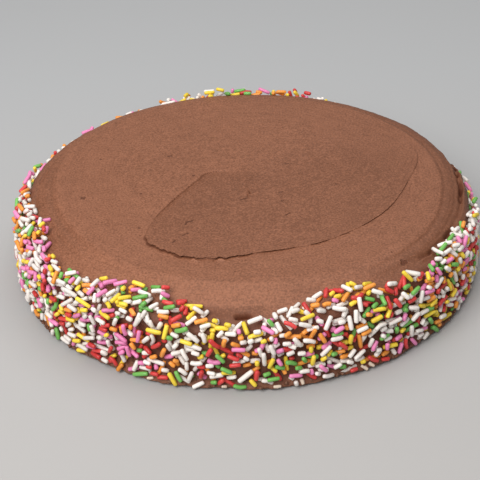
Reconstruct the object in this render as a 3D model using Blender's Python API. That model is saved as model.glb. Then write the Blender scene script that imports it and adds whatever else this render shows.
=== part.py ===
"""A single-layer chocolate cake: iced on its top and side, with rainbow sprinkles
pressed into the side.

Units are metres, +Z is up, and the origin is the middle of the flat bottom. The front of
the cake faces -Y. Angles run anticlockwise seen from above, from +X.
"""
import math

import bpy
import numpy as np
from mathutils import Matrix, Vector

MM = 0.001
FRONT, RIGHT, BACK, LEFT = -90, 0, 90, 180

# The icing over an 8 inch layer, about 4 mm thick on the side
FOOT_RADIUS = 105.5 * MM
FOOT_ROUND = 1.5 * MM
FOOT_INSET = 1.2 * MM
WALL_TOP_RADIUS = 103.0 * MM
PLATEAU_HEIGHT = 36.3 * MM
CROWN = 0.7 * MM

# Where the flat top turns down into its sloping rim, by angle round the cake
BORDER_RADIUS_MM = (
    (-155, 83.3), (-125, 82.2), (-90, 80.8), (-62, 86.0), (-38, 88.4), (-10, 89.3),
    (20, 92.7), (60, 95.0), (100, 95.0), (150, 94.5), (180, 87.5),
)
CREASE_WIDTH = 0.6 * MM

# The sloping rim, its outer edge and the top of the wall, by angle round the cake
RIM_SLOPE = ((FRONT, 0.38), (RIGHT, 0.30), (BACK, 0.20), (LEFT, 0.25))
RIM_RADIUS_MM = ((FRONT, 98.0), (RIGHT, 101.0), (BACK, 100.0), (LEFT, 99.5))
WALL_TOP_MM = ((FRONT, 24.0), (RIGHT, 27.0), (BACK, 30.0), (LEFT, 27.0))

# The edge that the spatula's spiral sweep left on the top: its radius and its step
LEDGE_RADIUS_MM = (
    (-166, 30.7), (-156, 37.5), (-149, 44.5), (-142, 53.5), (-135, 62.0), (-120, 67.0),
    (-103, 65.5), (-86, 60.5), (-60, 62.0), (-30, 67.0), (0, 76.0), (20, 88.0), (38, 84.0),
    (70, 45.0), (106, 12.5), (126, 16.5), (150, 21.3), (172, 23.4),
)
LEDGE_STEP_MM = (
    (-166, -0.7), (-149, -0.5), (-135, 0.5), (-120, 1.1), (-103, 1.0), (-86, 0.7),
    (-60, 0.5), (-30, 0.4), (0, 0.35), (20, 0.2), (38, 0.0), (70, 0.0), (106, 0.0),
    (126, -0.3), (150, -0.6),
)
LEDGE_WIDTH = 0.9 * MM
LEDGE_CLEARANCE = 3.0 * MM
RAISED_REACH = 22.0 * MM
SUNK_REACH = 10.0 * MM

# Unevenness of the spread icing: how far it strays and over what distance
SIDE_WAVE, SIDE_WAVELENGTH = 0.38 * MM, 38.0 * MM
TOP_WAVE, TOP_WAVELENGTH = 0.16 * MM, 55.0 * MM

# Sprinkles: sugar rods of one thickness, the largest of those on the real cake
ROD_RADIUS = 0.91 * MM
ROD_SIDES = 6
ROD_COUNT = 236
ROD_LONGEST, ROD_SHORTEST = 9.5 * MM, 6.5 * MM
ROD_SUNK = 0.45
ROD_GAP = 0.35 * MM
ROD_TRIES = 14
BULGE_SHARE, MOST_BULGE = 0.6, 0.8 * MM
LOWEST_CLIMB = 1.6 * MM
FLOOR_GAP = 0.1 * MM
SEED = 31

# How far in past the rim's outer edge the middles of the sprinkles reach; short of that
# edge where it is below 0
SPRINKLE_REACH_MM = (
    (-171, 3.5), (-160, 6.0), (-150, 1.5), (-135, 1.5), (-120, 9.5), (-109, 8.5),
    (-93, -3.0), (-82, 1.5), (-67, 7.0), (-52, 0.0), (-25, 0.5), (-12, -3.0), (0, -6.5),
    (60, -5.0), (80, -1.0), (110, -1.0), (130, -3.2), (165, -3.0), (180, -1.0),
)

# The mesh: sectors round the cake, and rows from the middle of the top to the foot
SECTORS = 72
ROWS = (
    0.3, 0.55, 0.75, 0.9, 1.0, 2.0, 2.33, 2.67, 2.95, 3.07, 3.5, 4.0, 4.3, 4.6, 5.0,
    5.33, 5.67, 6.0, 7.0,
)

# The rows that the side's line runs through, from the foot up
SIDE_ROWS, SIDE_POINTS = (6.4, 2.2), 64
RIM_EDGE = 4.0

# Colours, linear
ICING = (0.285, 0.122, 0.071)
SPRINKLE_SHARES = (
    ("white", (0.87, 0.79, 0.73), 0.38),
    ("orange", (0.78, 0.33, 0.07), 0.15),
    ("pink", (0.77, 0.26, 0.46), 0.135),
    ("red", (0.57, 0.067, 0.053), 0.12),
    ("yellow", (0.86, 0.65, 0.067), 0.115),
    ("green", (0.19, 0.37, 0.097), 0.10),
)


def clear_objects():
    for item in list(bpy.data.objects):
        bpy.data.objects.remove(item, do_unlink=True)


def smooth(x):
    """0 below 0, 1 above 1, and a level start and end between them."""
    x = np.clip(x, 0.0, 1.0)
    return x * x * (3.0 - 2.0 * x)


def through(knots, angle):
    """A smooth closed curve through knots of (degrees, value): a cubic in each gap, its
    slope at a knot taken from the knots on either side."""
    turn = 2.0 * math.pi
    place, value = np.array(sorted(knots)).T
    place = np.radians(place)
    first = place[0]
    place = np.concatenate([place - turn, place, place + turn])
    value = np.tile(value, 3)
    slope = np.gradient(value, place)
    at = (angle - first) % turn + first
    i = np.searchsorted(place, at, side="right") - 1
    gap = place[i + 1] - place[i]
    t = (at - place[i]) / gap
    start = (1.0 + 2.0 * t) * (1.0 - t) ** 2 * value[i] + t * (1.0 - t) ** 2 * gap * slope[i]
    end = t * t * (3.0 - 2.0 * t) * value[i + 1] - t * t * (1.0 - t) * gap * slope[i + 1]
    return start + end


def ripple(points, wavelength, seed, waves=9):
    """Smooth unevenness of about -1 to 1: sine waves of nearly one length that run in
    seeded directions, added up."""
    draw = np.random.default_rng(seed)
    way = draw.normal(size=(waves, 3))
    way /= np.linalg.norm(way, axis=1, keepdims=True)
    way *= 2.0 * math.pi / (wavelength * draw.uniform(0.7, 1.4, (waves, 1)))
    return np.sin(points @ way.T + draw.uniform(0, 2.0 * math.pi, waves)).sum(-1) / math.sqrt(waves)


def border_radius(angle):
    """Where the flat top ends."""
    return through(BORDER_RADIUS_MM, angle) * MM


def ledge_radius(angle):
    """The spiral edge, kept inside the flat top."""
    return np.minimum(through(LEDGE_RADIUS_MM, angle) * MM, border_radius(angle) - LEDGE_CLEARANCE)


def top_height(radius, angle):
    """The icing's top: a low crown, the spiral step that fades inwards from its edge, and
    past the border a rim that slopes down from a soft crease."""
    border = border_radius(angle)
    ledge = ledge_radius(angle)
    step = through(LEDGE_STEP_MM, angle) * MM
    reach = np.where(step > 0, RAISED_REACH, SUNK_REACH)
    inside = smooth((ledge - radius) / LEDGE_WIDTH + 0.5)
    fade = np.exp(-np.maximum(ledge - radius, 0.0) / reach) * smooth(radius / (12.0 * MM))
    crown = CROWN * np.maximum(1.0 - (radius / border) ** 2, 0.0)
    drop = CREASE_WIDTH * np.logaddexp(0.0, (radius - border) / CREASE_WIDTH)
    return PLATEAU_HEIGHT + crown + step * inside * fade - through(RIM_SLOPE, angle) * drop


def skin(angle, row):
    """The cake's skin at an angle and a row. Rows run from the middle of the top (0) over
    the spiral step (1 to 2), to the border (3), the rim's outer edge (4), round the
    shoulder to the wall (5), down to the foot (6) and under its rounding (7)."""
    angle, row = np.broadcast_arrays(np.asarray(angle, float), np.asarray(row, float))
    ledge = ledge_radius(angle)
    rim = through(RIM_RADIUS_MM, angle) * MM
    wall_top = through(WALL_TOP_MM, angle) * MM

    half = LEDGE_WIDTH / 2
    stops = [np.zeros_like(ledge), ledge - half, ledge + half, border_radius(angle), rim]
    radius = np.zeros_like(row)
    for number in range(4):
        along = np.clip(row - number, 0.0, 1.0)
        radius = radius + along * (stops[number + 1] - stops[number])
    height = top_height(radius, angle)

    # The shoulder: a quadratic curve that leaves along the rim's slope and ends upright
    t = np.clip(row - 4.0, 0.0, 1.0)
    rim_height = top_height(rim, angle)
    corner = rim_height - through(RIM_SLOPE, angle) * (WALL_TOP_RADIUS - rim)
    over = row > 4.0
    radius = np.where(over, (1 - t) ** 2 * rim + (1 - (1 - t) ** 2) * WALL_TOP_RADIUS, radius)
    curve = (1 - t) ** 2 * rim_height + 2 * t * (1 - t) * corner + t * t * wall_top
    height = np.where(over, curve, height)

    # The wall leans out to the foot, which turns in under itself
    down = np.clip(row - 5.0, 0.0, 1.0)
    under = np.clip(row - 6.0, 0.0, 1.0)
    radius = radius + (FOOT_RADIUS - WALL_TOP_RADIUS) * down - FOOT_INSET * under
    height = height + (FOOT_ROUND - wall_top) * down - FOOT_ROUND * under

    points = np.stack([radius * np.cos(angle), radius * np.sin(angle), height], -1)
    side = smooth((row - 3.4) / 1.2) * SIDE_WAVE * ripple(points, SIDE_WAVELENGTH, SEED)
    top = smooth(4.6 - row) * TOP_WAVE * ripple(points, TOP_WAVELENGTH, SEED + 1)
    points[..., 0] += side * np.cos(angle)
    points[..., 1] += side * np.sin(angle)
    points[..., 2] += top
    return points


def side_line(angle):
    """The skin's line up the side at each angle: its rows, its points, and how far up the
    skin from the foot each point lies."""
    rows = np.linspace(*SIDE_ROWS, SIDE_POINTS)
    line = skin(angle[:, None], rows)
    step = np.linalg.norm(np.diff(line, axis=1), axis=-1)
    climb = np.concatenate([np.zeros((len(angle), 1)), step.cumsum(axis=1)], axis=1)
    return rows, line, climb


def side_point(angle, climb):
    """The point of the side that lies a given way up the skin, and its row."""
    rows, _, reach = side_line(angle)
    row = np.array([np.interp(c, far, rows) for c, far in zip(climb, reach)])
    return skin(angle, row), row


def side_frame(angle, row):
    """The ways round the side, up it and out of it, at right angles to each other."""
    turn, shift = 0.002, 0.02
    round_it = skin(angle + turn, row) - skin(angle - turn, row)
    up_it = skin(angle, row - shift) - skin(angle, row + shift)
    round_it /= np.linalg.norm(round_it, axis=-1, keepdims=True)
    up_it -= round_it * (up_it * round_it).sum(-1, keepdims=True)
    up_it /= np.linalg.norm(up_it, axis=-1, keepdims=True)
    return round_it, up_it, np.cross(round_it, up_it)


def highest_climb(angle):
    """How far up the skin the middles of the sprinkles reach."""
    rows, _, climb = side_line(angle)
    edge = np.argmin(np.abs(rows - RIM_EDGE))
    return climb[:, edge] + through(SPRINKLE_REACH_MM, angle) * MM


def lay_rods(angle, climb, spin, length):
    """Rods on the side: each runs between two points of the skin, raised until it lies
    partly sunk. Gives their middles, half axes and how far the skin bulges between."""
    middle, row = side_point(angle, climb)
    _, _, out = side_frame(angle, row)
    across = np.cos(spin) * length / 2 / np.hypot(middle[:, 0], middle[:, 1])
    rise = np.sin(spin) * length / 2
    start, _ = side_point(angle - across, climb - rise)
    end, _ = side_point(angle + across, climb + rise)
    half = end - start
    half *= (length / 2 / np.linalg.norm(half, axis=1))[:, None]
    between = (start + end) / 2
    bulge = ((middle - between) * out).sum(-1)
    lift = ROD_RADIUS * (1.0 - ROD_SUNK) + bulge * BULGE_SHARE
    return between + out * lift[:, None], half, bulge


def gap_to_rods(middle, half, others, other_halves):
    """The least distance from one rod's axis to those of the others: points along it, each
    set against every other axis as a straight piece."""
    along = np.linspace(-1.0, 1.0, 9)[:, None]
    points = middle + along * half
    away = points[:, None] - others[None]
    length2 = (other_halves ** 2).sum(-1)
    t = np.clip((away * other_halves).sum(-1) / length2, -1.0, 1.0)
    return np.linalg.norm(away - t[..., None] * other_halves, axis=-1).min()


def place_rods():
    """The largest sprinkles, spread evenly over the side by seeded draws: of a few draws
    for each rod, the one that lies clear and farthest from the rods already there."""
    draw = np.random.default_rng(SEED)
    many = ROD_COUNT * ROD_TRIES
    angle = draw.uniform(-math.pi, math.pi, many)
    climb = LOWEST_CLIMB + (highest_climb(angle) - LOWEST_CLIMB) * draw.uniform(0.0, 1.0, many)
    spin = draw.uniform(0.0, math.pi, many)
    length = np.repeat(np.linspace(ROD_LONGEST, ROD_SHORTEST, ROD_COUNT), ROD_TRIES)
    middle, half, bulge = lay_rods(angle, climb, spin, length)
    clear = middle[:, 2] - np.abs(half[:, 2]) > ROD_RADIUS + FLOOR_GAP
    clear &= bulge < MOST_BULGE

    kept = []
    for first in range(0, many, ROD_TRIES):
        best, best_room = None, -1.0
        for k in range(first, first + ROD_TRIES):
            if not clear[k]:
                continue
            room = 1.0
            if kept:
                if gap_to_rods(middle[k], half[k], middle[kept], half[kept]) < 2 * ROD_RADIUS + ROD_GAP:
                    continue
                room = np.linalg.norm(middle[kept] - middle[k], axis=1).min()
            if room > best_room:
                best, best_room = k, room
        if best is not None:
            kept.append(best)
    return middle[kept], half[kept]


def paint(name, colour, roughness):
    material = bpy.data.materials.new(name)
    material.use_nodes = True
    shader = material.node_tree.nodes["Principled BSDF"]
    shader.inputs["Base Color"].default_value = (*colour, 1.0)
    shader.inputs["Roughness"].default_value = roughness
    shader.inputs["Metallic"].default_value = 0.0
    material.diffuse_color = (*colour, 1.0)
    return material


def make_icing_body(name):
    """The bare iced cake: rings of the skin joined by triangles, closed by a point in the
    middle of the top and one in the middle of the bottom."""
    angle = np.arange(SECTORS) * 2.0 * math.pi / SECTORS
    rings = skin(angle[None, :], np.array(ROWS)[:, None]).reshape(-1, 3)
    top = skin(0.0, 0.0)
    points = [tuple(p) for p in rings] + [tuple(top), (0.0, 0.0, 0.0)]
    top_index, bottom_index = len(points) - 2, len(points) - 1
    last = (len(ROWS) - 1) * SECTORS

    faces = []
    for j in range(SECTORS):
        k = (j + 1) % SECTORS
        faces.append((top_index, j, k))
        faces.append((bottom_index, last + k, last + j))
        for i in range(0, last, SECTORS):
            faces.append((i + j, i + SECTORS + j, i + SECTORS + k))
            faces.append((i + j, i + SECTORS + k, i + k))

    mesh = bpy.data.meshes.new(name)
    mesh.from_pydata(points, [], faces)
    mesh.materials.append(paint("icing", ICING, 0.55))
    body = bpy.data.objects.new(name, mesh)
    bpy.context.scene.collection.objects.link(body)
    return body


def make_rod(name, middle, half, material, collection):
    """A six-sided rod that lies along its half axis, a flat side down."""
    direction = Vector(half).normalized()
    length = 2.0 * Vector(half).length
    bpy.ops.mesh.primitive_cylinder_add(vertices=ROD_SIDES, radius=ROD_RADIUS, depth=length)
    rod = bpy.context.object
    rod.name = name
    turn = direction.to_track_quat("Z", "Y").to_matrix().to_4x4()
    rod.matrix_world = Matrix.Translation(Vector(middle)) @ turn
    rod.data.materials.append(material)
    for owner in list(rod.users_collection):
        owner.objects.unlink(rod)
    collection.objects.link(rod)
    return rod


def make_sprinkles():
    """All the rods, in one collection, their colours dealt out in the shares seen."""
    collection = bpy.data.collections.new("sprinkles")
    bpy.context.scene.collection.children.link(collection)
    names = [share[0] for share in SPRINKLE_SHARES]
    materials = [paint(label, colour, 0.35) for label, colour, _ in SPRINKLE_SHARES]
    weights = np.array([share[2] for share in SPRINKLE_SHARES])
    middles, halves = place_rods()
    draw = np.random.default_rng(SEED + 7)
    picks = draw.choice(len(names), size=len(middles), p=weights / weights.sum())
    for number, (middle, half, pick) in enumerate(zip(middles, halves, picks)):
        make_rod(f"{names[pick]}_rod_{number}", middle, half, materials[pick], collection)
    return collection


def fuse(body, collection):
    """Joins the rods to the body in one closed solid, then removes the loose rods."""
    union = body.modifiers.new("union", "BOOLEAN")
    union.operation = "UNION"
    union.operand_type = "COLLECTION"
    union.collection = collection
    union.solver = "EXACT"
    union.material_mode = "TRANSFER"
    bpy.context.view_layer.update()
    fused = bpy.data.meshes.new_from_object(body.evaluated_get(bpy.context.evaluated_depsgraph_get()))
    fused.name = body.name
    body.modifiers.clear()
    body.data = fused
    for rod in list(collection.objects):
        bpy.data.objects.remove(rod, do_unlink=True)
    bpy.data.collections.remove(collection)


def main():
    clear_objects()
    cake = make_icing_body("iced_cake")
    fuse(cake, make_sprinkles())


main()
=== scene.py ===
"""The looks of a single-layer chocolate cake: spread icing and rainbow sprinkles.

Metres, +Z up, the origin in the middle of the flat bottom, the front towards -Y. The shape
functions repeat those of the solid, so that the icing and the first sprinkles lie where
the solid has them.
"""
import math

import bpy
import numpy as np
from bpy.props import FloatProperty, FloatVectorProperty, IntProperty, PointerProperty
from mathutils import Matrix, Vector


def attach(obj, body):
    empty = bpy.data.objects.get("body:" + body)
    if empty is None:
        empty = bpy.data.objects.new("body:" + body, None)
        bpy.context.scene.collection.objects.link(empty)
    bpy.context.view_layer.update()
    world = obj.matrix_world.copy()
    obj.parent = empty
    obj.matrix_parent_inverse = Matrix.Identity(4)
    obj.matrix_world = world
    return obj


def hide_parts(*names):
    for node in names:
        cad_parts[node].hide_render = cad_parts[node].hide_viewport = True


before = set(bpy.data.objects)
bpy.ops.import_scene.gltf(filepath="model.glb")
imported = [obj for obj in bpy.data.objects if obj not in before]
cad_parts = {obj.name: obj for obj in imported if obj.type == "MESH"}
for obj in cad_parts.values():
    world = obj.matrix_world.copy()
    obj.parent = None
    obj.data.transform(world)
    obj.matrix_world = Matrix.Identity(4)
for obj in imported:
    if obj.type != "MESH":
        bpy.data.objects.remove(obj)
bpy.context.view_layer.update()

bl_info = {
    "name": "Chocolate Cake",
    "version": (1, 0, 0),
    "blender": (4, 5, 0),
    "location": "View3D > Sidebar > Cake",
    "description": "Builds an iced chocolate cake with rainbow sprinkles round its side",
    "category": "Add Mesh",
}

CAKE_NODE = "iced_cake"

MM = 0.001
TURN = 2.0 * math.pi
FRONT, RIGHT, BACK, LEFT = -90, 0, 90, 180

# The iced layer, as in the solid
FOOT_ROUND = 1.5 * MM
FOOT_INSET = 1.2 * MM
CROWN = 0.7 * MM
BORDER_RADIUS_MM = (
    (-155, 83.3), (-125, 82.2), (-90, 80.8), (-62, 86.0), (-38, 88.4), (-10, 89.3),
    (20, 92.7), (60, 95.0), (100, 95.0), (150, 94.5), (180, 87.5),
)
CREASE_WIDTH = 0.6 * MM
RIM_SLOPE = ((FRONT, 0.38), (RIGHT, 0.30), (BACK, 0.20), (LEFT, 0.25))
RIM_RADIUS_MM = ((FRONT, 98.0), (RIGHT, 101.0), (BACK, 100.0), (LEFT, 99.5))
WALL_TOP_MM = ((FRONT, 24.0), (RIGHT, 27.0), (BACK, 30.0), (LEFT, 27.0))
LEDGE_RADIUS_MM = (
    (-166, 30.7), (-156, 37.5), (-149, 44.5), (-142, 53.5), (-135, 62.0), (-120, 67.0),
    (-103, 65.5), (-86, 60.5), (-60, 62.0), (-30, 67.0), (0, 76.0), (20, 88.0), (38, 84.0),
    (70, 45.0), (106, 12.5), (126, 16.5), (150, 21.3), (172, 23.4),
)
LEDGE_STEP_MM = (
    (-166, -0.7), (-149, -0.5), (-135, 0.5), (-120, 1.1), (-103, 1.0), (-86, 0.7),
    (-60, 0.5), (-30, 0.4), (0, 0.35), (20, 0.2), (38, 0.0), (70, 0.0), (106, 0.0),
    (126, -0.3), (150, -0.6),
)
LEDGE_WIDTH = 0.9 * MM
LEDGE_CLEARANCE = 3.0 * MM
RAISED_REACH = 22.0 * MM
SUNK_REACH = 10.0 * MM
MIDDLE_FADE = 12.0 * MM
SIDE_WAVE, SIDE_WAVELENGTH = 0.38 * MM, 38.0 * MM
TOP_WAVE, TOP_WAVELENGTH = 0.16 * MM, 55.0 * MM
SIDE_ROWS, SIDE_POINTS = (6.4, 2.2), 64
RIM_EDGE = 4.0
SEED = 31

# The table that says where on the side a given way up the skin is
TABLE_ANGLES, TABLE_STEPS, TABLE_CLIMB = 720, 400, 70.0 * MM

# The largest sprinkles, as in the solid
ROD_COUNT = 236
ROD_TRIES = 14
ROD_LONGEST, ROD_SHORTEST = 9.5 * MM, 6.5 * MM
ROD_SUNK = 0.45
ROD_GAP = 0.35 * MM
BULGE_SHARE, MOST_BULGE = 0.6, 0.8 * MM
LOWEST_CLIMB = 1.6 * MM
FLOOR_GAP = 0.1 * MM
SPRINKLE_REACH_MM = (
    (-171, 3.5), (-160, 6.0), (-150, 1.5), (-135, 1.5), (-120, 9.5), (-109, 8.5),
    (-93, -3.0), (-82, 1.5), (-67, 7.0), (-52, 0.0), (-25, 0.5), (-12, -3.0), (0, -6.5),
    (60, -5.0), (80, -1.0), (110, -1.0), (130, -3.2), (165, -3.0), (180, -1.0),
)
COLOUR_SHARES = (
    ("white", 0.395), ("orange", 0.125), ("pink", 0.15), ("red", 0.115), ("yellow", 0.14),
    ("green", 0.075),
)

# How thickly the rest are strewn, by angle, and how they lie
STREWN_BY_ANGLE = (
    (-175, 1.0), (-155, 1.05), (-135, 0.9), (-115, 0.68), (-100, 0.52), (-90, 0.42),
    (-78, 0.5), (-60, 0.75), (-40, 1.05), (-10, 1.0), (60, 0.8), (120, 0.8),
)
STREWN_TRIES, DRAWS_EACH = 2, 28
LOWEST_STREWN = 1.5 * MM
BACK_LOWER = 2.2 * MM
LENGTH_MM, LENGTH_SPREAD_MM = 4.8, 1.15
SHORTEST_MM, LONGEST_MM = 2.4, 8.6
BROKEN_SHARE, BROKEN_MM = 0.15, (2.0, 3.4)
THICKER, THICKNESS_SPREAD = 1.07, 0.045
SUNK_SHARES = (0.1, 0.65)
LEVELLING = 0.35
NESTING = 0.94
STEEPEST, STEEPNESS_COST = 0.65, 0.02 * MM
HIGHEST_PILE, DEBRIS_PILE = 4.2 * MM, 0.2 * MM
LEAST_GAP = 0.05 * MM
TALLEST = 38.3 * MM
FARTHEST_OUT = 109.2 * MM
CLUMP_LENGTH, CLUSTER_LENGTH, CLUSTER = 17.0 * MM, 18.0 * MM, 0.8
STATIONS = np.linspace(-1.0, 1.0, 9)
ENDS = np.array([[-1.0], [1.0]])
SLOPES = np.linspace(-STEEPEST, STEEPEST, 27)

# The form of one sprinkle: rings along it by place and by width, and its bends
RING_PLACE = np.array([-1.0, -1.0, -0.52, 0.0, 0.52, 1.0, 1.0])
RING_INSET = np.array([0.0, 0.34, 0.52, 0.0, -0.52, -0.34, 0.0])
RING_WIDTH = np.array([0.58, 0.93, 1.0, 1.0, 1.0, 0.93, 0.58])
RING_SIDES = 7
STRAIGHT_SHARE, BEND_SPREAD, ROUND_BEND = 0.62, 0.045, 2.0
SHARP_SHARE, SHARP_BENDS, SHARP_LENGTH, SHARP_KINK = 0.045, (0.12, 0.24), 5.0 * MM, 1.15

# Broken bits: longest, thickest, and how far up the side, then how lumpy and how flat
FLAKE_SIZES, FLAKE_FORM = (3.6 * MM, 2.1 * MM, 9.0 * MM), (0.15, 0.6)
CRUMB_SIZES, CRUMB_FORM = (1.9 * MM, 1.5 * MM, 7.0 * MM), (0.22, 0.8)
LOWEST_DEBRIS = 1.2 * MM

# Fine relief of the icing
RING_RADIUS = 60.0 * MM
TORN_WAVE, TORN_WAVELENGTH = 0.5 * MM, 3.8 * MM
LIP_REACH, LIP_HOLLOW = 0.55 * MM, 1.1 * MM
GROOVE_RADIUS_MM = (
    (-40, 96.3), (-20, 98.2), (0, 99.8), (12, 101.6), (30, 102.4), (180, 97.0),
)
SIDE_ROUGH, SIDE_ROUGH_LENGTH = 0.22 * MM, 5.5 * MM
SKIRT_REACH, SKIRT_HEIGHT = 1.9 * MM, 1.1 * MM
SKIRT_FADE, SKIRT_UNDERCUT = 2.1 * MM, 0.8 * MM
ICING_SECTORS = 680
STROKE_WIDTH, STROKE_LENGTH = 1.7 * MM, 34 * MM

# Dents and burst bubbles in the top: from (x, y) to (x, y), and half their width, in mm
MARKS_MM = (
    (-26.6, -35.0, -26.2, -33.2, 0.4), (-26.2, -33.0, -23.8, -32.3, 0.4),
    (-27.8, -44.7, -25.5, -42.7, 0.3), (-31.8, -50.3, -30.8, -48.8, 0.3),
    (-2.3, -15.1, 0.4, -13.5, 0.35), (17.7, -29.5, 19.6, -27.8, 0.35),
    (19.1, 19.0, 20.7, 18.5, 0.35), (-37.0, 29.1, -35.1, 29.5, 0.35),
    (-24.1, 9.1, -24.1, 9.1, 0.6), (-48.0, -6.2, -48.0, -6.2, 0.6),
    (-47.1, -36.4, -47.1, -36.4, 0.5), (15.5, -8.9, 16.7, -8.7, 0.4),
    (16.7, -16.8, 16.7, -16.8, 0.55), (-69.5, 28.8, -69.5, 28.8, 0.5),
    (42.2, -2.8, 42.2, -2.8, 0.5), (-75.3, -9.4, -73.7, -8.0, 0.4),
    (-75.2, -7.9, -73.8, -9.4, 0.4), (64.9, -68.0, 66.7, -66.4, 0.7),
    (64.9, -66.3, 65.6, -67.2, 0.6),
)


def smooth(x):
    """0 below 0, 1 above 1, and a level start and end between them: 3x2 - 2x3."""
    x = np.clip(x, 0.0, 1.0)
    return x * x * (3.0 - 2.0 * x)


def window(angle, start, end, fade):
    """1 between two angles in degrees and 0 outside, with soft ends of fade degrees."""
    middle = math.radians((start + end) / 2)
    away = np.degrees(np.abs((angle - middle + math.pi) % TURN - math.pi))
    return smooth(((end - start) / 2 - away) / fade + 0.5)


def hill(x, width):
    """A round hill of height 1 about x = 0: e to the minus (x / width) squared."""
    return np.exp(-(x / width) ** 2)


def through(knots, angle):
    """A smooth closed curve through knots of (degrees, value): a cubic in each gap, its
    slope at a knot taken from the knots on either side."""
    place, value = np.array(sorted(knots)).T
    place = np.radians(place)
    first = place[0]
    place = np.concatenate([place - TURN, place, place + TURN])
    value = np.tile(value, 3)
    slope = np.gradient(value, place)
    at = (angle - first) % TURN + first
    i = np.searchsorted(place, at, side="right") - 1
    gap = place[i + 1] - place[i]
    t = (at - place[i]) / gap
    start = (1.0 + 2.0 * t) * (1.0 - t) ** 2 * value[i] + t * (1.0 - t) ** 2 * gap * slope[i]
    end = t * t * (3.0 - 2.0 * t) * value[i + 1] - t * t * (1.0 - t) * gap * slope[i + 1]
    return start + end


def ripple(points, wavelength, seed, waves=9):
    """Smooth unevenness of about -1 to 1: sine waves of nearly one length that run in
    seeded directions, added up."""
    draw = np.random.default_rng(seed)
    way = draw.normal(size=(waves, 3))
    way /= np.linalg.norm(way, axis=1, keepdims=True)
    way *= TURN / (wavelength * draw.uniform(0.7, 1.4, (waves, 1)))
    return np.sin(points @ way.T + draw.uniform(0, TURN, waves)).sum(-1) / math.sqrt(waves)


def on_ring(angle):
    """The point of a ring at each angle. Unevenness along an edge is read there."""
    return np.stack([np.cos(angle), np.sin(angle), 0 * angle], -1) * RING_RADIUS


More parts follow.
